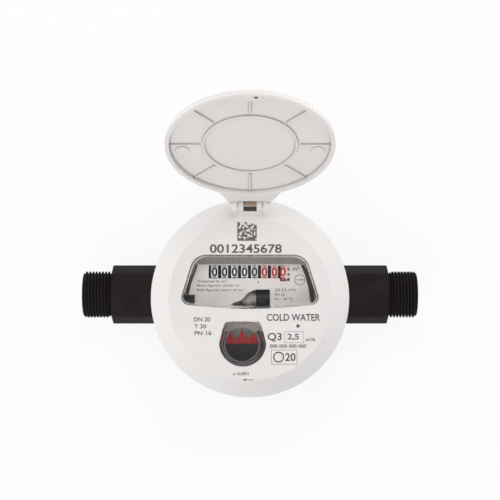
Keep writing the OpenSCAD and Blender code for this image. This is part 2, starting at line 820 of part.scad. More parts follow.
// Lid, modelled closed and swung open about the hinge
module lid() {
    plate_low = lid_z + lid_t - 1.8;
    neck_y = lid_r - 2.4 - lid_shift;
    color([0.9, 0.9, 0.89])
    translate([0, hinge_y, hinge_z]) rotate([-lid_open, 0, 0]) translate([0, -hinge_y, -hinge_z])
        difference() {
            union() {
                translate([0, -lid_shift, 0]) {
                    difference() {
                        rotate_extrude()
                            polygon(rounded([
                                [0, lid_z, 0], [lid_r, lid_z, 0.4], [lid_r, lid_z + lid_t - 0.6, 1.4],
                                [0, lid_z + lid_t + 0.6, 0]
                            ]));
                        translate([0, 0, lid_z - 1]) cylinder(r = lid_r - rim_w, h = plate_low - lid_z + 1);
                    }
                    ring(lid_ring_r, lid_ring_r - 1, plate_low - 0.8, plate_low + 0.5);
                    for (a = [0:45:315])
                        rotate(a) translate([lid_ring_r + 1.6, -0.4, plate_low - 0.8])
                            cube([lid_r - lid_ring_r - 4.4, 0.8, 1.3]);
                    translate([-5, -lid_r + 1, lid_z + 0.2]) cube([10, 4.2, plate_low - lid_z]);
                    for (x = [8.4 - lid_r, lid_r - 8.4])
                        translate([x, 5.2, plate_low - 0.3]) cylinder(r = 3.2, h = 0.8);
                }
                translate([0, 0, plate_low])
                    linear_extrude(lid_t + 0.2 - plate_low + lid_z)
                        polygon([[-17, neck_y], [17, neck_y], [9.6, hinge_y - 1], [9.6, hinge_y + 1.5],
                                 [-9.6, hinge_y + 1.5], [-9.6, hinge_y - 1]]);
                for (x = [-tongue_w / 2 - ear_w - 0.25, tongue_w / 2 + 0.25])
                    bar_x(x, x + ear_w, hinge_y, hinge_z, ear_r);
            }
            bar_x(-hinge_half, hinge_half, hinge_y, hinge_z, hinge_pin_r + run);
            translate([2, -lid_r + 1.8 - lid_shift, lid_z - 1]) cube([1.6, 1.8, 2.4]);
            bar_x(-tongue_w / 2 - 0.25, tongue_w / 2 + 0.25, hinge_y, hinge_z, barrel_r + 1.4);
        }
}

meter_body();
inlet_strainer();
chamber_base();
division_plate();
control_roller();
piston();
chamber_lid();
outlet_seal();
driver();
drive_magnet();
pressure_plate();
plate_seal();
lock_ring();
register_base();
follower_spindle();
follower_magnet();
transfer_gear();
idler_gear();
indicator_gear();
indicator_disc();
indicator_plate();
drive_shaft();
shaft_drum();
shaft_hub();
crown_pinion();
end_pinion();
roller_shaft();
pinion_shaft();
for (k = [1:roller_count])
    number_roller(k);
for (k = [1:roller_count - 1])
    carry_pinion(k);
mechanism_frame();
dial_plate();
dial_clip();
lens_seal();
register_lens();
shroud();
hinge_pin();
lid();
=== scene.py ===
"""Water meter with a threaded composite body, a roller register under a clear cover and an open lid."""

import math

import bmesh
import bpy
from mathutils import Matrix, Vector


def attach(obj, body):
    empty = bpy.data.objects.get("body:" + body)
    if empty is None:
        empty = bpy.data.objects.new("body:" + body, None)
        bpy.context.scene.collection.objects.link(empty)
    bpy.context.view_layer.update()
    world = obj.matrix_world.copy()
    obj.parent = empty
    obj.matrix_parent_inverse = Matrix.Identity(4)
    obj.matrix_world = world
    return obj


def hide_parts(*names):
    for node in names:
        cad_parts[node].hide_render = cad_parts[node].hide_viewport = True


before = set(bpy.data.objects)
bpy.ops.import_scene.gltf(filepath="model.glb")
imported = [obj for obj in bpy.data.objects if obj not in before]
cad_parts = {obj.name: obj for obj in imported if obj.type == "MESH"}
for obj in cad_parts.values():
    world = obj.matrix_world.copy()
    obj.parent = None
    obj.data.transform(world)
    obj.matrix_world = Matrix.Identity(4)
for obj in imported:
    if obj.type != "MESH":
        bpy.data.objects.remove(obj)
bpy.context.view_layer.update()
MM = 0.001


# Pressure body: bowl and pipe ends moulded in one piece from black glass-filled nylon.
# The two pipe ends carry a rounded parallel pipe thread, which is cut in the mould.
def feed(tree, socket, value):
    """Links an output to the socket, or sets the socket's own value."""
    if isinstance(value, bpy.types.NodeSocket):
        tree.links.new(value, socket)
    else:
        socket.default_value = value


def put(tree, kind, settings=None, *values, **named):
    """Adds a node, with its inputs fed in order or by name."""
    made = tree.nodes.new(kind)
    for key, value in (settings or {}).items():
        setattr(made, key, value)
    for i, value in enumerate(values):
        feed(tree, made.inputs[i], value)
    for key, value in named.items():
        feed(tree, made.inputs[key.replace("_", " ")], value)
    return made


def math_node(tree, operation, *values):
    """Adds a math node and returns its output."""
    return put(tree, "ShaderNodeMath", {"operation": operation}, *values).outputs[0]


def colour_mix(tree, factor, first, second):
    """Mixes two colours and returns the output."""
    mixed = put(tree, "ShaderNodeMix", {"data_type": "RGBA"})
    for socket, value in ((mixed.inputs[0], factor), (mixed.inputs[6], first), (mixed.inputs[7], second)):
        feed(tree, socket, value)
    return mixed.outputs[2]


def spread(tree, value, low, high, to_low=0.0, to_high=1.0):
    """Maps a value from one range to another, clamped, and returns the output."""
    return put(tree, "ShaderNodeMapRange", None, value, low, high, to_low, to_high).outputs[0]


def moulded_surface_group():
    """Moulded plastic: faint mottling, a fine spark grain, rubbed round edges and painted shade in the
    corners.
    """
    tree = bpy.data.node_groups.new("Moulded surface", "ShaderNodeTree")
    for name, kind in (
        ("Tone", "NodeSocketColor"),
        ("Fleck", "NodeSocketColor"),
        ("Rubbed edge", "NodeSocketColor"),
        ("Mottle scale", "NodeSocketFloat"),
        ("Grain scale", "NodeSocketFloat"),
        ("Grain depth", "NodeSocketFloat"),
        ("Smoothest", "NodeSocketFloat"),
        ("Roughest", "NodeSocketFloat"),
        ("Edge radius", "NodeSocketFloat"),
        ("Corner shade", "NodeSocketColor"),
        ("Shade reach", "NodeSocketFloat"),
    ):
        tree.interface.new_socket(name, in_out="INPUT", socket_type=kind)
    for name, kind in (
        ("Color", "NodeSocketColor"),
        ("Roughness", "NodeSocketFloat"),
        ("Normal", "NodeSocketVector"),
    ):
        tree.interface.new_socket(name, in_out="OUTPUT", socket_type=kind)
    given = tree.nodes.new("NodeGroupInput").outputs
    place = put(tree, "ShaderNodeTexCoord").outputs["Object"]
    mottle, grain = (
        put(tree, "ShaderNodeTexNoise", None, Vector=place, Scale=given[size], Detail=3.0).outputs[0]
        for size in ("Mottle scale", "Grain scale")
    )
    rounded = put(tree, "ShaderNodeBevel", {"samples": 6}, given["Edge radius"]).outputs[0]
    facing = put(tree, "ShaderNodeNewGeometry").outputs["Normal"]
    bend = put(tree, "ShaderNodeVectorMath", {"operation": "DOT_PRODUCT"}, rounded, facing)
    turned = spread(tree, bend.outputs["Value"], 0.99, 0.8)
    edge = math_node(tree, "MULTIPLY", turned, spread(tree, grain, 0.3, 0.6))
    tone = colour_mix(tree, spread(tree, mottle, 0.35, 0.65), given["Tone"], given["Fleck"])
    both = math_node(tree, "MULTIPLY", math_node(tree, "ADD", mottle, grain), 0.5)
    rough = spread(tree, both, 0.35, 0.65, given["Smoothest"], given["Roughest"])
    bump = put(tree, "ShaderNodeBump", None, Strength=1.0, Height=grain, Normal=rounded)
    feed(tree, bump.inputs["Distance"], given["Grain depth"])
    rubbed = colour_mix(tree, edge, tone, given["Rubbed edge"])
    # Painted shade: an occlusion mask darkens the colour in corners and creases, where shade falls.
    hollow = put(tree, "ShaderNodeAmbientOcclusion", {"samples": 6, "only_local": True})
    feed(tree, hollow.inputs["Distance"], given["Shade reach"])
    corner_shade = spread(tree, hollow.outputs["AO"], 0.92, 0.45)
    colour = colour_mix(tree, corner_shade, rubbed, given["Corner shade"])
    put(tree, "NodeGroupOutput", None, colour, rough, bump.outputs[0])
    return tree


moulded_surface = moulded_surface_group()


def moulded_material(
    name, tone, fleck, edge, mottle, grain, depth, rough, radius, corner_shade=0.8, reach=1.0, **shader
):
    """A moulded piece's material; the last keywords set the shader's own sockets."""
    material = bpy.data.materials.new(name)
    material.use_nodes = True
    tree = material.node_tree
    bsdf = tree.nodes["Principled BSDF"]
    surface = put(tree, "ShaderNodeGroup", {"node_tree": moulded_surface})
    # Painted shade: the corner colour is the tone darkened by this share.
    shade_tone = [part * corner_shade for part in tone]
    values = (
        (*tone, 1), (*fleck, 1), (*edge, 1), mottle, grain, depth * MM, *rough, radius * MM,
        (*shade_tone, 1), reach * MM,
    )
    for socket, value in zip(surface.inputs, values):
        socket.default_value = value
    feed(tree, bsdf.inputs["Base Color"], surface.outputs["Color"])
    feed(tree, bsdf.inputs["Roughness"], surface.outputs["Roughness"])
    feed(tree, bsdf.inputs["Normal"], surface.outputs["Normal"])
    for key, value in shader.items():
        bsdf.inputs[key.replace("_", " ")].default_value = value
    return material


def dress(material, *nodes):
    """Gives carried-over solids their finish."""
    for name in nodes:
        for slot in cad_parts[name].material_slots:
            slot.material = material


def add_piece(name, mesh, material, body):
    """A finished piece at the origin, riding on a body."""
    piece = bpy.data.objects.new(name, mesh)
    bpy.context.scene.collection.objects.link(piece)
    mesh.materials.clear()
    mesh.materials.append(material)
    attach(piece, body)
    return piece


black_composite = moulded_material(
    "black composite", (0.0155, 0.0125, 0.0125), (0.022, 0.018, 0.018), (0.05, 0.046, 0.046),
    90, 2400, 0.018, (0.6, 0.72), 0.35, Specular_IOR_Level=0.05,
)

THREAD_START = 79.5
THREAD_END = 95.0
THREAD_PITCH = 1.814
THREAD_CREST = 13.22
THREAD_ROOT = 12.06
THREAD_CORE = 11.9
THREAD_ROWS = 150
THREAD_AROUND = 96
PIPE_HEIGHT = 27.0
SHOULDER_SLACK = 0.1
BODY_CREASE = 32


def thread_tree():
    """A ring whose outside is a screw thread along X, with its crests cut back at both ends."""
    tree = bpy.data.node_groups.new("Pipe thread", "GeometryNodeTree")
    tree.interface.new_socket("Geometry", in_out="INPUT", socket_type="NodeSocketGeometry")
    for name, value in (
        ("Start", THREAD_START), ("End", THREAD_END), ("Pitch", THREAD_PITCH),
        ("Crest", THREAD_CREST), ("Root", THREAD_ROOT), ("Core", THREAD_CORE), ("Height", PIPE_HEIGHT),
    ):
        socket = tree.interface.new_socket(name, in_out="INPUT", socket_type="NodeSocketFloat")
        socket.default_value = value * MM
    tree.interface.new_socket("Finish", in_out="INPUT", socket_type="NodeSocketMaterial")
    tree.interface.new_socket("Geometry", in_out="OUTPUT", socket_type="NodeSocketGeometry")
    given = tree.nodes.new("NodeGroupInput").outputs
    rows = THREAD_ROWS
    grid = put(tree, "GeometryNodeMeshGrid", None, 1.0, 1.0, rows + 3, THREAD_AROUND + 1).outputs[0]
    at = put(tree, "GeometryNodeInputPosition").outputs[0]
    spot = put(tree, "ShaderNodeSeparateXYZ", None, at).outputs
    row = math_node(tree, "ROUND", math_node(tree, "MULTIPLY_ADD", spot[0], rows + 2.0, rows / 2 + 1.0))
    turn = math_node(tree, "ADD", spot[1], 0.5)
    along = spread(tree, row, 1, rows, given["Start"], given["End"])
    last = math_node(tree, "GREATER_THAN", row, rows + 1.5)
    gap = math_node(tree, "SUBTRACT", given["Start"], along)
    x = math_node(tree, "MULTIPLY_ADD", last, gap, along)
    phase = math_node(tree, "SUBTRACT", math_node(tree, "DIVIDE", x, given["Pitch"]), turn)
    wave = math_node(tree, "COSINE", math_node(tree, "MULTIPLY", phase, math.tau))
    flank = spread(tree, wave, -0.8, 0.8)
    crest = put(
        tree, "ShaderNodeMapRange", {"interpolation_type": "SMOOTHSTEP"},
        flank, 0.0, 1.0, given["Root"], given["Crest"],
    ).outputs[0]
    lead = math_node(tree, "ADD", given["Root"], math_node(tree, "SUBTRACT", x, given["Start"]))
    lead_out = math_node(tree, "ADD", given["Root"], math_node(tree, "SUBTRACT", given["End"], x))
    cut = math_node(tree, "MINIMUM", crest, math_node(tree, "MINIMUM", lead, lead_out))
    outside = math_node(tree, "COMPARE", row, rows / 2 + 0.5, rows / 2)
    swell = math_node(tree, "SUBTRACT", cut, given["Core"])
    radius = math_node(tree, "MULTIPLY_ADD", outside, swell, given["Core"])
    angle = math_node(tree, "MULTIPLY", turn, math.tau)
    y = math_node(tree, "MULTIPLY", radius, math_node(tree, "COSINE", angle))
    lift = math_node(tree, "MULTIPLY", radius, math_node(tree, "SINE", angle))
    z = math_node(tree, "ADD", lift, given["Height"])
    where = put(tree, "ShaderNodeCombineXYZ", None, x, y, z).outputs[0]
    shaped = put(tree, "GeometryNodeSetPosition", None, Geometry=grid, Position=where).outputs[0]
    closed = put(tree, "GeometryNodeMergeByDistance", None, Geometry=shaped, Distance=1e-6).outputs[0]
    smooth = put(tree, "GeometryNodeSetShadeSmooth", None, Geometry=closed).outputs[0]
    dressed = put(tree, "GeometryNodeSetMaterial", None, Geometry=smooth, Material=given["Finish"])
    put(tree, "NodeGroupOutput", None, dressed.outputs[0])
    return tree


def grown(tree, values):
    """The plain mesh that a node tree makes with these input values."""
    holder = bpy.data.objects.new("holder", bpy.data.meshes.new("holder"))
    bpy.context.scene.collection.objects.link(holder)
    modifier = holder.modifiers.new("Shape", "NODES")
    modifier.node_group = tree
    for item in tree.interface.items_tree:
        if item.in_out == "INPUT" and item.name in values:
            modifier[item.identifier] = values[item.name]
    ready = holder.evaluated_get(bpy.context.evaluated_depsgraph_get())
    mesh = bpy.data.meshes.new_from_object(ready)
    bpy.data.objects.remove(holder)
    return mesh


def threaded_body():
    """The body's own solid with its two plain thread cylinders drawn in, and a cut thread round each."""
    whole = bmesh.new()
    whole.from_mesh(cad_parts["meter_body"].data)
    bmesh.ops.remove_doubles(whole, verts=whole.verts, dist=1e-7)
    for vert in whole.verts:
        across = Vector((vert.co.y, vert.co.z - PIPE_HEIGHT * MM))
        if abs(vert.co.x) > (THREAD_START - SHOULDER_SLACK) * MM and across.length > THREAD_CORE * MM:
            across = across.normalized() * THREAD_CORE * MM
            vert.co.y, vert.co.z = across.x, across.y + PIPE_HEIGHT * MM
    tree = thread_tree()
    for side in (1, -1):
        ring = grown(tree, {"Finish": black_composite})
        ring.transform(Matrix.Rotation(math.pi if side < 0 else 0, 4, "Z"))
        whole.from_mesh(ring)
    bmesh.ops.recalc_face_normals(whole, faces=whole.faces)
    mesh = bpy.data.meshes.new("threaded_body")
    whole.to_mesh(mesh)
    whole.free()
    mesh.set_sharp_from_angle(angle=math.radians(BODY_CREASE))
    return mesh


body_piece = add_piece("threaded_body", threaded_body(), black_composite, "housing")
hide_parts("meter_body")


# Inlet strainer: a thimble moulded from natural nylon, pushed into the inlet mouth up to its flange.
# Its slots and end holes keep grit out of the measuring chamber.
strainer_nylon = moulded_material(
    "strainer nylon", (0.55, 0.54, 0.49), (0.62, 0.61, 0.57), (0.7, 0.69, 0.66),
    120, 2000, 0.01, (0.38, 0.5), 0.15, Subsurface_Weight=0.1, Subsurface_Radius=(0.001, 0.001, 0.0008),
)
dress(strainer_nylon, "inlet_strainer")


# Measuring chamber: cup and lid moulded from pale styrene, with a thin steel plate between the ports.
# The parts drop into the bowl one on the other, and the lid's spigot ring guides the piston.
chamber_styrene = moulded_material(
    "chamber styrene", (0.68, 0.67, 0.62), (0.74, 0.73, 0.69), (0.8, 0.79, 0.76),
    60, 1600, 0.008, (0.3, 0.42), 0.25,
)
dress(chamber_styrene, "chamber_base", "chamber_lid")


def turned_metal(name, tone, dark, lines, rough, along):
    """Machined metal: fine tool lines round an axis and a slight stain."""
    material = bpy.data.materials.new(name)
    material.use_nodes = True
    tree = material.node_tree
    bsdf = tree.nodes["Principled BSDF"]
    place = put(tree, "ShaderNodeTexCoord").outputs["Object"]
    stretch = [0.04 if axis != along else 1.0 for axis in range(3)]
    squeezed = put(tree, "ShaderNodeMapping", None, Vector=place, Scale=stretch).outputs[0]
    marks = put(tree, "ShaderNodeTexNoise", None, Vector=squeezed, Scale=lines, Detail=2.0).outputs[0]
    stain = put(tree, "ShaderNodeTexNoise", None, Vector=place, Scale=180.0, Detail=4.0).outputs[0]
    stained = colour_mix(tree, spread(tree, stain, 0.4, 0.7), (*tone, 1), (*dark, 1))
    feed(tree, bsdf.inputs["Base Color"], stained)
    feed(tree, bsdf.inputs["Roughness"], spread(tree, marks, 0.3, 0.7, *rough))
    bump = put(tree, "ShaderNodeBump", None, Strength=0.4, Distance=0.01 * MM, Height=marks)
    feed(tree, bsdf.inputs["Normal"], bump.outputs[0])
    bsdf.inputs["Metallic"].default_value = 1.0
    return material


plate_steel = turned_metal("plate steel", (0.6, 0.6, 0.61), (0.45, 0.45, 0.46), 3000.0, (0.22, 0.4), 2)
dress(plate_steel, "division_plate")
control_nylon = moulded_material(
    "control roller nylon", (0.72, 0.69, 0.6), (0.76, 0.74, 0.66), (0.8, 0.78, 0.72),
    400, 3000, 0.005, (0.3, 0.4), 0.1,
)
dress(control_nylon, "control_roller")


# Rotary piston: an open ring with a web, moulded from carbon-filled plastic so that it runs in water.
# It is free in the chamber, and its upper peg turns the driver.
piston_carbon = moulded_material(
    "piston carbon", (0.025, 0.025, 0.027), (0.045, 0.045, 0.048), (0.09, 0.09, 0.095),
    150, 3000, 0.006, (0.28, 0.4), 0.2,
)
dress(piston_carbon, "piston")


# Magnetic drive: a driver below the pressure plate and a follower above it, each with a ring magnet.
# The magnets are sintered ferrite pressed on moulded spindles, so nothing passes through the plate.
drive_acetal = moulded_material(
    "drive acetal", (0.72, 0.7, 0.62), (0.77, 0.75, 0.68), (0.82, 0.8, 0.75),
    200, 2600, 0.005, (0.28, 0.38), 0.15,
)
ferrite = moulded_material(
    "sintered ferrite", (0.05, 0.05, 0.055), (0.085, 0.083, 0.085), (0.16, 0.16, 0.16),
    500, 5200, 0.02, (0.42, 0.6), 0.12, Specular_IOR_Level=0.6,
)
dress(drive_acetal, "driver", "follower_spindle")
dress(ferrite, "drive_magnet", "follower_magnet")


# Pressure plate and the register's cup: black moulded discs that close the wet side and carry the gears.
# The rubber rings are moulded nitrile, squeezed between the parts.
cup_plastic = moulded_material(
    "cup plastic", (0.02, 0.02, 0.021), (0.032, 0.032, 0.033), (0.08, 0.08, 0.08),
    80, 2000, 0.01, (0.36, 0.48), 0.3,
)
seal_rubber = moulded_material(
    "seal rubber", (0.01, 0.01, 0.01), (0.018, 0.018, 0.018), (0.03, 0.03, 0.03),
    300, 4000, 0.012, (0.6, 0.75), 0.1, Specular_IOR_Level=0.3,
)
dress(cup_plastic, "pressure_plate", "register_base")
dress(seal_rubber, "plate_seal", "outlet_seal", "lens_seal")


# Gear train: white acetal wheels that turn on posts of the cup, from the follower to the shaft and disc.
# They are injection moulded, so their teeth are smooth and slightly waxy.
gear_acetal = moulded_material(
    "gear acetal", (0.74, 0.74, 0.71), (0.79, 0.79, 0.77), (0.85, 0.85, 0.84),
    250, 2600, 0.004, (0.26, 0.36), 0.08, Subsurface_Weight=0.15, Subsurface_Radius=(0.0012, 0.0012, 0.001),
)
dress(gear_acetal, "transfer_gear", "idler_gear", "indicator_gear", "crown_pinion", "end_pinion")
dress(gear_acetal, *[f"carry_pinion_{k}" for k in range(1, 8)])


# Drive shaft: a steel wire shaft with a black drum and a grey stepped hub pressed on it.
# Both show through the cut-out of the dial, so that a moving register can be seen.
shaft_steel = turned_metal("shaft steel", (0.62, 0.62, 0.64), (0.5, 0.5, 0.52), 6000.0, (0.16, 0.3), 0)
drum_black = moulded_material(
    "drum black", (0.008, 0.008, 0.008), (0.014, 0.014, 0.014), (0.03, 0.03, 0.03),
    300, 3000, 0.006, (0.4, 0.52), 0.2,
)
hub_grey = moulded_material(
    "hub grey", (0.4, 0.38, 0.365), (0.44, 0.42, 0.405), (0.55, 0.53, 0.515),
    250, 3000, 0.006, (0.3, 0.42), 0.2,
)
dress(shaft_steel, "drive_shaft", "roller_shaft", "pinion_shaft")
dress(drum_black, "shaft_drum", "dial_clip")
dress(hub_grey, "shaft_hub")


# Number rollers: eight moulded drums on one shaft, with the figures printed round each drum.
# Five drums count whole units in black, and three on the outlet side count parts in red.
ROLLER_Y = 13.9
ROLLER_Z = 77.7
ROLLER_R = 8.6
ROLLER_PITCH = 5.29
RED_ROLLERS = 3
DRUM_W = 3.7
LAST_LEFT = 16.41
BAND_T = 0.3
BAND_BLUR = 0.05
FIGURE_H = 5.0
FIGURE_W = 3.1
ONE_W = 0.55 * FIGURE_W
LAST_FIGURE_X = 17.5
TICK_X = 20.4
TICK_LIFT = 0.01
PRINT_T = 0.02
PRINT_LIFT = 0.4 * PRINT_T
BEND_STEP = 0.3
BEND_CUTS = 9


def lettering(words, height, width, weight=0.012):
    """Thin solid figures or letters of that height and width, centred on the origin."""
    curve = bpy.data.curves.new("lettering", "FONT")
    curve.body = words
    curve.extrude = 0.01
    curve.offset = weight
    curve.resolution_u = 4
    holder = bpy.data.objects.new("lettering", curve)
    bpy.context.scene.collection.objects.link(holder)
    ready = holder.evaluated_get(bpy.context.evaluated_depsgraph_get())
    mesh = bpy.data.meshes.new_from_object(ready)
    bpy.data.objects.remove(holder)
    spots = [vert.co for vert in mesh.vertices]
    low = Vector([min(p[i] for p in spots) for i in range(3)])
    high = Vector([max(p[i] for p in spots) for i in range(3)])
    wide, tall, thick = (
        size * MM / (high[i] - low[i]) for i, size in enumerate((width, height, PRINT_T))
    )
    mesh.transform(Matrix.Translation(-(low + high) / 2))
    mesh.transform(Matrix.Diagonal((wide, tall, thick, 1)))
    return mesh


def wrapped_on_roller(sheet, centre_x, angle):
    """Bends a flat sheet of print round the drums, with its middle at that angle from the top."""
    for step in range(-BEND_CUTS, BEND_CUTS + 1):
        geometry = sheet.verts[:] + sheet.edges[:] + sheet.faces[:]
        cut = (0, step * BEND_STEP * MM, 0)
        bmesh.ops.bisect_plane(sheet, geom=geometry, dist=1e-9, plane_co=cut, plane_no=(0, 1, 0))
    for vert in sheet.verts:
        turn = angle + vert.co.y / (ROLLER_R * MM)
        radius = (ROLLER_R + PRINT_LIFT) * MM + vert.co.z
        vert.co = (
            centre_x * MM + vert.co.x,
            ROLLER_Y * MM + radius * math.sin(turn),
            ROLLER_Z * MM + radius * math.cos(turn),
        )


def print_ink(name, tone, worn):
    """Pad-printed ink: an even film that is a little thinner in places."""
    return moulded_material(name, tone, worn, worn, 900, 5000, 0.002, (0.4, 0.55), 0.01)


def roller_material(name, band, tint):
    """Drum of one colour with black sides, told apart by the distance from the roller's axis; the black
    sides are painted shade for the deep gaps between the drums.
    """
    material = moulded_material(name, band, tint, band, 300, 3000, 0.004, (0.3, 0.42), 0.12)
    tree = material.node_tree
    bsdf = tree.nodes["Principled BSDF"]
    place = put(tree, "ShaderNodeTexCoord").outputs["Object"]
    spot = put(tree, "ShaderNodeSeparateXYZ", None, place).outputs
    y = math_node(tree, "SUBTRACT", spot[1], ROLLER_Y * MM)
    z = math_node(tree, "SUBTRACT", spot[2], ROLLER_Z * MM)
    square = math_node(tree, "ADD", math_node(tree, "MULTIPLY", y, y), math_node(tree, "MULTIPLY", z, z))
    radius = math_node(tree, "SQRT", square)
    inside = ROLLER_R - BAND_T
    on_band = spread(tree, radius, inside * MM, (inside + BAND_BLUR) * MM)
    surface = bsdf.inputs["Base Color"].links[0].from_socket
    # Painted shade: everything inside the band is black, for the shade in the gaps between the drums.
    feed(tree, bsdf.inputs["Base Color"], colour_mix(tree, on_band, (0.01, 0.01, 0.01, 1), surface))
    return material


def tick_tree():
    """A row of small printed squares round a drum."""
    tree = bpy.data.node_groups.new("Drum scale", "GeometryNodeTree")
    tree.interface.new_socket("Geometry", in_out="INPUT", socket_type="NodeSocketGeometry")
    tree.interface.new_socket("Count", in_out="INPUT", socket_type="NodeSocketInt").default_value = 20
    sizes = (("Side", 1.1), ("Film", 0.03), ("Radius", ROLLER_R + TICK_LIFT), ("Along", TICK_X))
    for name, value in sizes:
        socket = tree.interface.new_socket(name, in_out="INPUT", socket_type="NodeSocketFloat")
        socket.default_value = value * MM
    tree.interface.new_socket("Finish", in_out="INPUT", socket_type="NodeSocketMaterial")
    tree.interface.new_socket("Geometry", in_out="OUTPUT", socket_type="NodeSocketGeometry")
    given = tree.nodes.new("NodeGroupInput").outputs
    row = put(tree, "GeometryNodeMeshLine", None, Count=given["Count"]).outputs[0]
    index = put(tree, "GeometryNodeInputIndex").outputs[0]
    share = math_node(tree, "DIVIDE", math_node(tree, "ADD", index, 0.5), given["Count"])
    angle = math_node(tree, "MULTIPLY", share, math.tau)
    across = math_node(tree, "MULTIPLY", given["Radius"], math_node(tree, "SINE", angle))
    lift = math_node(tree, "MULTIPLY", given["Radius"], math_node(tree, "COSINE", angle))
    y = math_node(tree, "ADD", across, ROLLER_Y * MM)
    z = math_node(tree, "ADD", lift, ROLLER_Z * MM)
    where = put(tree, "ShaderNodeCombineXYZ", None, given["Along"], y, z).outputs[0]
    spots = put(tree, "GeometryNodeSetPosition", None, Geometry=row, Position=where).outputs[0]
    size = put(tree, "ShaderNodeCombineXYZ", None, given["Side"], given["Side"], given["Film"]).outputs[0]
    square = put(tree, "GeometryNodeMeshCube", None, size).outputs[0]
    back = math_node(tree, "MULTIPLY", angle, -1.0)
    lean = put(tree, "ShaderNodeCombineXYZ", None, back, 0.0, 0.0).outputs[0]
    copies = put(tree, "GeometryNodeInstanceOnPoints", None, Points=spots, Instance=square, Rotation=lean)
    solid = put(tree, "GeometryNodeRealizeInstances", None, copies.outputs[0]).outputs[0]
    dressed = put(tree, "GeometryNodeSetMaterial", None, Geometry=solid, Material=given["Finish"])
    put(tree, "NodeGroupOutput", None, dressed.outputs[0])
    return tree


figure_black = print_ink("figure black", (0.02, 0.022, 0.026), (0.035, 0.037, 0.042))
figure_red = print_ink("figure red", (0.45, 0.025, 0.025), (0.52, 0.05, 0.045))
roller_white = roller_material("roller white", (0.83, 0.84, 0.85), (0.87, 0.88, 0.88))
roller_pink = roller_material("roller pink", (0.87, 0.66, 0.64), (0.9, 0.7, 0.68))
for k in range(1, 9):
    left = LAST_LEFT - (k - 1) * ROLLER_PITCH
    middle = left + DRUM_W / 2 if k > 1 else LAST_FIGURE_X
    red = k <= RED_ROLLERS
    figures = bmesh.new()
    for n in range(10):
        figure = bmesh.new()
        figure.from_mesh(lettering(str(n), FIGURE_H, ONE_W if n == 1 else FIGURE_W, 0.03))
        bmesh.ops.remove_doubles(figure, verts=figure.verts, dist=1e-8)
        wrapped_on_roller(figure, middle, math.tau * n / 10)
        flat = bpy.data.meshes.new("figure")
        figure.to_mesh(flat)
        figure.free()
        figures.from_mesh(flat)
    mesh = bpy.data.meshes.new(f"figures_{k}")
    figures.to_mesh(mesh)
    figures.free()
    add_piece(f"figures_{k}", mesh, figure_red if red else figure_black, f"roller_{k}")
    dress(roller_pink if red else roller_white, f"number_roller_{k}")
add_piece("drum_scale", grown(tick_tree(), {"Finish": figure_black}), figure_black, "roller_1")


# Mechanism frame: a pale moulded plate on four pillars that holds the shafts between two cheeks.
# It stands in the cup and carries the dial.
frame_plastic = moulded_material(
    "frame plastic", (0.62, 0.61, 0.6), (0.67, 0.66, 0.65), (0.74, 0.73, 0.72),
    70, 1800, 0.008, (0.38, 0.5), 0.2,
)
dress(frame_plastic, "mechanism_frame")


# Dial: a thin pale plate with the unit, plain data lines and a flow mark printed on it.
# It lies on the frame, under a black clip at its edge.
DIAL_TOP = 87.5
DIAL_SCALE = 0.5301
SIGHT_Y = 25.5
PICTURE_MID = 250
INDICATOR = (-4.3, -24.4)
INDICATOR_RING = 13.0
INDICATOR_EDGE = 9.6
INDICATOR_LIP = 9.15
FLOW_MARK = (26.4, 9.7)
FLOW_MARK_R = 2.7
dial_white = moulded_material(
    "dial white", (0.79, 0.745, 0.73), (0.81, 0.765, 0.75), (0.7, 0.66, 0.65),
    50, 2200, 0.004, (0.42, 0.55), 0.1,
)
dress(dial_white, "dial_plate")
dial_ink = print_ink("dial ink", (0.09, 0.085, 0.085), (0.13, 0.12, 0.12))
# Painted shade: a grey for the dial's shaded places inside the clear windows.
shade_grey = print_ink("painted shade grey", (0.34, 0.305, 0.3), (0.37, 0.335, 0.325))
# Painted shade: a near-black for the clear cover's side walls, which look dark through it.
shade_dark = print_ink("painted shade dark", (0.04, 0.03, 0.031), (0.05, 0.038, 0.04))


def stamp(print_mesh, flat, x, y, z):
    """Adds a flat mesh to a print that lies on the plane z."""
    flat.transform(Matrix.Translation((x * MM, y * MM, (z + PRINT_LIFT) * MM)))
    print_mesh.from_mesh(flat)


def outline_mesh(points, thickness):
    """A thin solid line of that thickness round flat points, in millimetres."""
    sheet = bmesh.new()
    for a, b in zip(points, points[1:] + points[:1]):
        a, b = Vector(a), Vector(b)
        along = (b - a).normalized() * thickness / 2
        side = Vector((-along.y, along.x))
        ring = [a - along - side, b + along - side, b + along + side, a - along + side]
        low = [sheet.verts.new((p.x * MM, p.y * MM, -PRINT_T / 2 * MM)) for p in ring]
        top = [sheet.verts.new((p.x * MM, p.y * MM, PRINT_T / 2 * MM)) for p in ring]
        sheet.faces.new(top)
        sheet.faces.new(low[::-1])
        for i in range(4):
            sheet.faces.new((low[i], low[(i + 1) % 4], top[(i + 1) % 4], top[i]))
    mesh = bpy.data.meshes.new("outline")
    sheet.to_mesh(mesh)
    sheet.free()
    return mesh


def disc_points(radius, count=32):
    """Points of a circle about the origin."""
    angles = [math.tau * i / count for i in range(count)]
    return [(radius * math.cos(a), radius * math.sin(a)) for a in angles]


def filled_mesh(points):
    """A thin solid plate with that outline, in millimetres."""
    sheet = bmesh.new()
    low = [sheet.verts.new((x * MM, y * MM, -PRINT_T / 2 * MM)) for x, y in points]
    top = [sheet.verts.new((x * MM, y * MM, PRINT_T / 2 * MM)) for x, y in points]
    sheet.faces.new(top)
    sheet.faces.new(low[::-1])
    for i in range(len(points)):
        j = (i + 1) % len(points)
        sheet.faces.new((low[i], low[j], top[j], top[i]))
    mesh = bpy.data.meshes.new("filled")
    sheet.to_mesh(mesh)
    sheet.free()
    return mesh


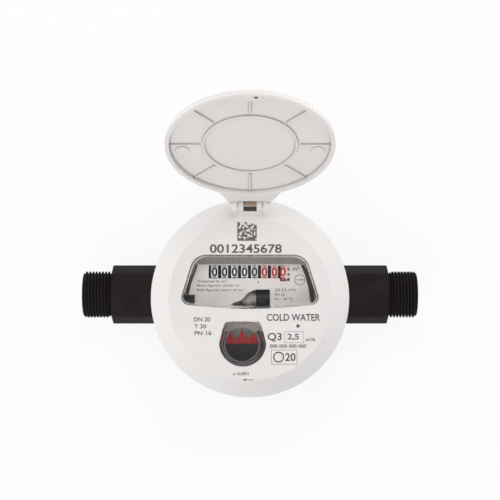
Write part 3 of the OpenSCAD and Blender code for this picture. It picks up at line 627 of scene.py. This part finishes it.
def on_dial(column, row):
    """The dial's own x and y, in millimetres, of a place in the picture."""
    return (column - PICTURE_MID) * DIAL_SCALE, SIGHT_Y + (PICTURE_MID - row) * DIAL_SCALE


def arc_points(radius, first, last, count=40):
    """Points of an arc about the origin, from one angle to another."""
    angles = [math.radians(first + (last - first) * i / count) for i in range(count + 1)]
    return [(radius * math.cos(a), radius * math.sin(a)) for a in angles]


def finished_print(name, sheet, material):
    """Turns a print into a piece on the housing."""
    mesh = bpy.data.meshes.new(name)
    sheet.to_mesh(mesh)
    sheet.free()
    add_piece(name, mesh, material, "housing")


# Painted shade on the dial: grey sheets for the shadow that the cover's top edge casts on the dial, for the
# grey edges of the main window at its sides, and grey rings round the indicator for the lower window's
# edges.
LEFT_EDGE_SHADE = (
    (206, 250), (196, 256), (186, 272), (181, 292),
    (180.5, 299), (184.4, 299), (187.2, 285.4), (195.4, 264.4),
)
RIGHT_EDGE_SHADE = (
    (304.8, 264.4), (309.2, 273.9), (314, 288.3), (314, 299), (319.5, 299),
    (319, 292), (314, 272), (304, 256), (294, 250),
)
TOP_EDGE_SHADOW = ((206.3, 250), (195.9, 264.4), (304.4, 264.4), (293.7, 250))
window_shade = bmesh.new()
for corners in (LEFT_EDGE_SHADE, RIGHT_EDGE_SHADE, TOP_EDGE_SHADOW):
    stamp(window_shade, filled_mesh([on_dial(*corner) for corner in corners]), 0, 0, DIAL_TOP)
for outer, inner, first, last in (
    (INDICATOR_RING, INDICATOR_EDGE, 40, 140),
    (INDICATOR_EDGE, INDICATOR_LIP, 0, 180),
    (INDICATOR_EDGE, INDICATOR_LIP, 180, 360),
):
    crescent = arc_points(outer, first, last) + arc_points(inner, last, first)
    stamp(window_shade, filled_mesh(crescent), *INDICATOR, DIAL_TOP)
finished_print("dial_painted_shade", window_shade, shade_grey)

# Painted shade on the dial: dark sheets for the clear cover's side walls beside the main window and round
# the indicator, which look dark through the clear plastic.
LEFT_WALL_SHADE = (
    (184.4, 301), (187.2, 301), (191.3, 283.5), (198.2, 264.7), (195.8, 264.7), (187.6, 285.4),
)
RIGHT_WALL_SHADE = (
    (300.6, 264.7), (305.1, 275.8), (308.5, 288.3), (310.2, 301),
    (314, 301), (313.8, 288.3), (308.8, 273.9), (304.0, 264.7),
)
wall_shade = bmesh.new()
for corners in (LEFT_WALL_SHADE, RIGHT_WALL_SHADE):
    stamp(wall_shade, filled_mesh([on_dial(*corner) for corner in corners]), 0, 0, DIAL_TOP)
crescent = arc_points(INDICATOR_RING, 140, 400) + arc_points(INDICATOR_EDGE, 400, 140)
stamp(wall_shade, filled_mesh(crescent), *INDICATOR, DIAL_TOP)
finished_print("dial_wall_shade", wall_shade, shade_dark)

ARROW = [(-2.6, -0.22), (1.2, -0.22), (1.2, -0.8), (2.8, 0), (1.2, 0.8), (1.2, 0.22), (-2.6, 0.22)]
dial_print = bmesh.new()
for words, height, width, x, y in (
    ("m³", 2.3, 3.6, 24.3, 15.6),
    (",", 1.6, 0.6, 4.4, 8.3),
    ("Volume in m³", 1.5, 15.5, -20.2, 9.0),
    ("Black figures: whole m³", 1.5, 22.5, -16.8, 6.6),
    ("Red figures: parts of m³", 1.5, 24.5, -15.8, 4.2),
    ("Q3 2,5 m³/h", 1.7, 11.0, 18.6, 4.3),
    ("PN 16", 1.5, 5.2, 15.7, 1.9),
    ("0,1 - 30 °C", 1.6, 9.6, 17.9, -0.5),
):
    stamp(dial_print, lettering(words, height, width), x, y, DIAL_TOP)
stamp(dial_print, outline_mesh(disc_points(FLOW_MARK_R), 0.3), *FLOW_MARK, DIAL_TOP)
stamp(dial_print, filled_mesh([(x * 0.75, y * 0.75) for x, y in ARROW]), *FLOW_MARK, DIAL_TOP)
finished_print("dial_print", dial_print, dial_ink)


# Indicator: a red disc with two notches on a moulded wheel, and a thin half-moon plate riveted on it.
# It turns at the smallest flow and shows through the lower window.
indicator_red = moulded_material(
    "indicator red", (0.36, 0.004, 0.006), (0.41, 0.006, 0.008), (0.44, 0.02, 0.02),
    300, 2400, 0.004, (0.28, 0.4), 0.1,
)
dress(indicator_red, "indicator_disc")
half_moon = turned_metal(
    "half moon plate", (0.075, 0.073, 0.07), (0.055, 0.053, 0.052), 2500.0, (0.3, 0.45), 1
)
dress(half_moon, "indicator_plate")


# Clear cover: the register's lid, moulded in one piece from clear plastic with two raised windows.
# It is pressed on the cup over a seal, and its raised windows stand in the openings of the white cover.
clear_plastic = bpy.data.materials.new("clear plastic")
clear_plastic.use_nodes = True
tree = clear_plastic.node_tree
bsdf = tree.nodes["Principled BSDF"]
place = put(tree, "ShaderNodeTexCoord").outputs["Object"]
waves = put(tree, "ShaderNodeTexNoise", None, Vector=place, Scale=60.0, Detail=1.0).outputs[0]
haze = put(tree, "ShaderNodeTexNoise", None, Vector=place, Scale=700.0, Detail=4.0).outputs[0]
bump = put(tree, "ShaderNodeBump", None, Strength=0.15, Distance=0.05 * MM, Height=waves)
feed(tree, bsdf.inputs["Normal"], bump.outputs[0])
feed(tree, bsdf.inputs["Roughness"], spread(tree, haze, 0.4, 0.7, 0.015, 0.05))
bsdf.inputs["Base Color"].default_value = (0.985, 0.985, 0.98, 1)
bsdf.inputs["Transmission Weight"].default_value = 1.0
bsdf.inputs["IOR"].default_value = 1.49
see_through = put(tree, "ShaderNodeBsdfTransparent", None, (0.92, 0.92, 0.92, 1)).outputs[0]
shadow_ray = put(tree, "ShaderNodeLightPath").outputs["Is Shadow Ray"]
either = put(tree, "ShaderNodeMixShader", None, shadow_ray, bsdf.outputs[0], see_through).outputs[0]
feed(tree, tree.nodes["Material Output"].inputs["Surface"], either)
EDGE_R = 1.3
EDGE_STEPS = 4
FLAT_AREA = 60
LENS_CREASE = 35


def softened_lens():
    """The cover's own solid with the upper edges of its two raised windows rounded."""
    whole = bmesh.new()
    whole.from_mesh(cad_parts["register_lens"].data)
    bmesh.ops.remove_doubles(whole, verts=whole.verts, dist=1e-7)
    bmesh.ops.dissolve_limit(whole, angle_limit=math.radians(0.5), verts=whole.verts, edges=whole.edges)
    top = max(vert.co.z for vert in whole.verts) - 0.01 * MM
    rim = [edge for edge in whole.edges if min(vert.co.z for vert in edge.verts) > top]
    bmesh.ops.bevel(
        whole, geom=rim, offset=EDGE_R * MM, segments=EDGE_STEPS, profile=0.5,
        affect="EDGES", clamp_overlap=True,
    )
    for edge in whole.edges:
        flat = max(face.calc_area() for face in edge.link_faces) > FLAT_AREA * MM * MM
        edge.smooth = not flat and edge.calc_face_angle(0) < math.radians(LENS_CREASE)
    mesh = bpy.data.meshes.new("soft_lens")
    whole.to_mesh(mesh)
    whole.free()
    return mesh


lens_piece = add_piece("soft_lens", softened_lens(), clear_plastic, "housing")
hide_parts("register_lens")


# Lock ring: a black moulded ring with grip notches that clamps the register on the bowl.
# It is turned on before the white cover goes over it.
dress(black_composite, "lock_ring")


# White cover: a shroud moulded from warm white plastic, with the hinge tongue at its edge.
# It is snapped over the lock ring, and plain data are printed on its flat face.
FACE_Z = 102.0
FACE_SCALE = 0.5197
white_plastic = moulded_material(
    "white plastic", (0.735, 0.712, 0.7), (0.75, 0.73, 0.718), (0.78, 0.765, 0.755),
    25, 1500, 0.006, (0.34, 0.46), 0.5, Subsurface_Weight=0.08, Subsurface_Radius=(0.0012, 0.001, 0.0008),
)
dress(white_plastic, "shroud")
face_ink = print_ink("face ink", (0.085, 0.075, 0.072), (0.12, 0.11, 0.105))


def on_face(column, row):
    """The face's own x and y, in millimetres, of a place in the picture."""
    return (column - PICTURE_MID) * FACE_SCALE, SIGHT_Y + (PICTURE_MID - row) * FACE_SCALE


face_print = bmesh.new()
for words, height, width, column, row in (
    ("0012345678", 4.7, 37.4, 245.8, 248.6),
    ("DN 20", 2.3, 8.4, 202.0, 319.4),
    ("T 30", 2.2, 6.2, 200.2, 326.4),
    ("PN 16", 2.2, 8.8, 203.0, 333.1),
    ("COLD WATER", 3.7, 27.8, 293.5, 317.4),
    ("Q3", 4.6, 7.4, 274.6, 337.3),
    ("2,5", 3.6, 6.0, 293.2, 337.1),
    ("m³/h", 1.9, 4.8, 310.6, 339.6),
    ("000 000 000 000", 1.9, 19.0, 288.0, 346.1),
    ("20", 4.2, 5.4, 290.4, 357.1),
    ("x 0,001", 1.9, 8.2, 240.6, 373.9),
):
    stamp(face_print, lettering(words, height, width, 0.02), *on_face(column, row), FACE_Z)
for corners, thickness in (
    (((284.6, 331.6), (303.8, 331.6), (303.8, 342.6), (284.6, 342.6)), 0.16),
    (((271.4, 350.0), (296.9, 350.0), (296.9, 364.2), (271.4, 364.2)), 0.2),
):
    stamp(face_print, outline_mesh([on_face(*c) for c in corners], thickness), 0, 0, FACE_Z)
stamp(face_print, outline_mesh(disc_points(2.5), 0.55), *on_face(278.6, 357.1), FACE_Z)
stamp(face_print, filled_mesh(disc_points(0.9)), *on_face(298, 326), FACE_Z)
flow_arrow = [(-x * 1.1, y * 0.8) for x, y in reversed(ARROW)]
stamp(face_print, filled_mesh(flow_arrow), *on_face(248.3, 379.8), FACE_Z)
finished_print("face_print", face_print, face_ink)


EMPTY_SHARE = 0.4
OUTER_CELLS = -0.49


def code_tree():
    """A square of small printed cells: two full sides and a fixed random filling."""
    tree = bpy.data.node_groups.new("Matrix mark", "GeometryNodeTree")
    tree.interface.new_socket("Geometry", in_out="INPUT", socket_type="NodeSocketGeometry")
    for name, value in (("Cells", 14), ("Seed", 5)):
        tree.interface.new_socket(name, in_out="INPUT", socket_type="NodeSocketInt").default_value = value
    for name, value in (("Width", 9.4), ("Height", 9.0), ("Cell", 0.68), ("Film", PRINT_T)):
        socket = tree.interface.new_socket(name, in_out="INPUT", socket_type="NodeSocketFloat")
        socket.default_value = value * MM
    tree.interface.new_socket("Finish", in_out="INPUT", socket_type="NodeSocketMaterial")
    tree.interface.new_socket("Geometry", in_out="OUTPUT", socket_type="NodeSocketGeometry")
    given = tree.nodes.new("NodeGroupInput").outputs
    size = (given["Width"], given["Height"], given["Cells"], given["Cells"])
    grid = put(tree, "GeometryNodeMeshGrid", None, *size).outputs[0]
    at = put(tree, "GeometryNodeInputPosition").outputs[0]
    spot = put(tree, "ShaderNodeSeparateXYZ", None, at).outputs
    left_edge = math_node(tree, "MULTIPLY", given["Width"], OUTER_CELLS)
    left = math_node(tree, "LESS_THAN", spot[0], left_edge)
    foot_edge = math_node(tree, "MULTIPLY", given["Height"], OUTER_CELLS)
    foot = math_node(tree, "LESS_THAN", spot[1], foot_edge)
    drawn = put(tree, "FunctionNodeRandomValue", {"data_type": "FLOAT"})
    feed(tree, drawn.inputs["Seed"], given["Seed"])
    filled = math_node(tree, "GREATER_THAN", drawn.outputs[1], EMPTY_SHARE)
    chosen = math_node(tree, "MAXIMUM", filled, math_node(tree, "MAXIMUM", left, foot))
    block = put(tree, "ShaderNodeCombineXYZ", None, given["Cell"], given["Cell"], given["Film"]).outputs[0]
    cell = put(tree, "GeometryNodeMeshCube", None, block).outputs[0]
    copies = put(tree, "GeometryNodeInstanceOnPoints", None, Points=grid, Selection=chosen, Instance=cell)
    solid = put(tree, "GeometryNodeRealizeInstances", None, copies.outputs[0]).outputs[0]
    dressed = put(tree, "GeometryNodeSetMaterial", None, Geometry=solid, Material=given["Finish"])
    put(tree, "NodeGroupOutput", None, dressed.outputs[0])
    return tree


code = bmesh.new()
stamp(code, grown(code_tree(), {"Finish": face_ink}), *on_face(247, 231.5), FACE_Z)
finished_print("face_code", code, face_ink)


# Hinge pin: a plain brass rod pressed through the tongue, on which the lid's two ears turn.
# It shows in the pocket of the tongue.
pin_brass = turned_metal("pin brass", (0.82, 0.66, 0.52), (0.6, 0.46, 0.35), 4000.0, (0.3, 0.48), 0)
dress(pin_brass, "hinge_pin")


# Lid: a thin round cap moulded from the cover's plastic, ribbed inside, with a lug at its free edge.
# Its ears clip on the pin, and it rests open behind the meter.
# The lid gets stronger painted shade in its corners, which draws dark lines beside the ribs.
lid_plastic = moulded_material(
    "lid plastic", (0.76, 0.725, 0.71), (0.78, 0.748, 0.735), (0.81, 0.79, 0.775),
    25, 1500, 0.003, (0.36, 0.48), 0.12, corner_shade=0.55, reach=1.5,
)
dress(lid_plastic, "lid")


# Studio: a pale floor that reads as white, a sky that darkens overhead and four soft lamps.
# The lamps are left out of glossy reflections, and the camera looks straight down on the face.
FLOOR_HALF = 3.0
FLOOR_GLOW = 0.88
SKY = (0.88, 0.24)
WALL = (1.0, 0.22)
CAMERA_HEIGHT = 827.0
VIEW_ANGLE = 20.32


def seen_directly(tree):
    """One for rays from the camera, by reflection or through the clear cover, and nought for others."""
    ray = put(tree, "ShaderNodeLightPath").outputs
    seen = math_node(tree, "MAXIMUM", ray["Is Camera Ray"], ray["Is Glossy Ray"])
    return math_node(tree, "MAXIMUM", seen, ray["Is Transmission Ray"])


def floor_material():
    """White to the camera and in reflections, with the object's shadow kept."""
    material = bpy.data.materials.new("pale floor")
    material.use_nodes = True
    tree = material.node_tree
    bsdf = tree.nodes["Principled BSDF"]
    bsdf.inputs["Base Color"].default_value = (0.85, 0.85, 0.85, 1)
    bsdf.inputs["Roughness"].default_value = 0.9
    glow = put(tree, "ShaderNodeEmission", None, (1, 1, 1, 1), 1.0).outputs[0]
    share = math_node(tree, "MULTIPLY", seen_directly(tree), FLOOR_GLOW)
    mixed = put(tree, "ShaderNodeMixShader", None, share, bsdf.outputs[0], glow).outputs[0]
    feed(tree, tree.nodes["Material Output"].inputs["Surface"], mixed)
    return material


floor_mesh = bpy.data.meshes.new("floor")
floor_corners = [(x * FLOOR_HALF, y * FLOOR_HALF, 0) for x, y in ((-1, -1), (1, -1), (1, 1), (-1, 1))]
floor_mesh.from_pydata(floor_corners, [], [(0, 1, 2, 3)])
floor_mesh.materials.append(floor_material())
floor = bpy.data.objects.new("floor", floor_mesh)
bpy.context.scene.collection.objects.link(floor)

world = bpy.data.worlds.new("studio")
bpy.context.scene.world = world
world.use_nodes = True
tree = world.node_tree
heading = put(tree, "ShaderNodeTexCoord").outputs["Generated"]
height = put(tree, "ShaderNodeSeparateXYZ", None, heading).outputs[2]
sky = spread(tree, height, 0.0, 1.0, *SKY)
wall = spread(tree, height, 0.35, 0.8, *WALL)
change = math_node(tree, "SUBTRACT", wall, sky)
strength = math_node(tree, "MULTIPLY_ADD", seen_directly(tree), change, sky)
backdrop = put(tree, "ShaderNodeBackground", None, (1, 1, 1, 1), strength).outputs[0]
feed(tree, tree.nodes["World Output"].inputs["Surface"], backdrop)

for name, place, aim, size, power in (
    ("top lamp", (0.04, 0.38, 0.78), (0, 0, 0.09), 0.3, 1.85),
    ("right lamp", (0.75, 0.58, 0.32), (0, 0, 0.09), 0.4, 3.2),
    ("left lamp", (-0.82, 0.22, 0.32), (0, 0, 0.09), 0.5, 2.4),
    ("front lamp", (-0.15, -0.46, 0.64), (0, 0.03, 0.12), 0.4, 1.95),
):
    lamp = bpy.data.lights.new(name, "AREA")
    lamp.energy = power
    lamp.size = size
    held = bpy.data.objects.new(name, lamp)
    held.location = place
    held.visible_glossy = False
    held.rotation_euler = (Vector(aim) - Vector(place)).to_track_quat("-Z", "Y").to_euler()
    bpy.context.scene.collection.objects.link(held)

camera_data = bpy.data.cameras.new("camera")
camera_data.sensor_width = 36.0
camera_data.angle = math.radians(VIEW_ANGLE)
camera = bpy.data.objects.new("camera", camera_data)
camera.location = (0, SIGHT_Y * MM, CAMERA_HEIGHT * MM)
bpy.context.scene.collection.objects.link(camera)
bpy.context.scene.camera = camera
bpy.context.scene.view_settings.view_transform = "Standard"
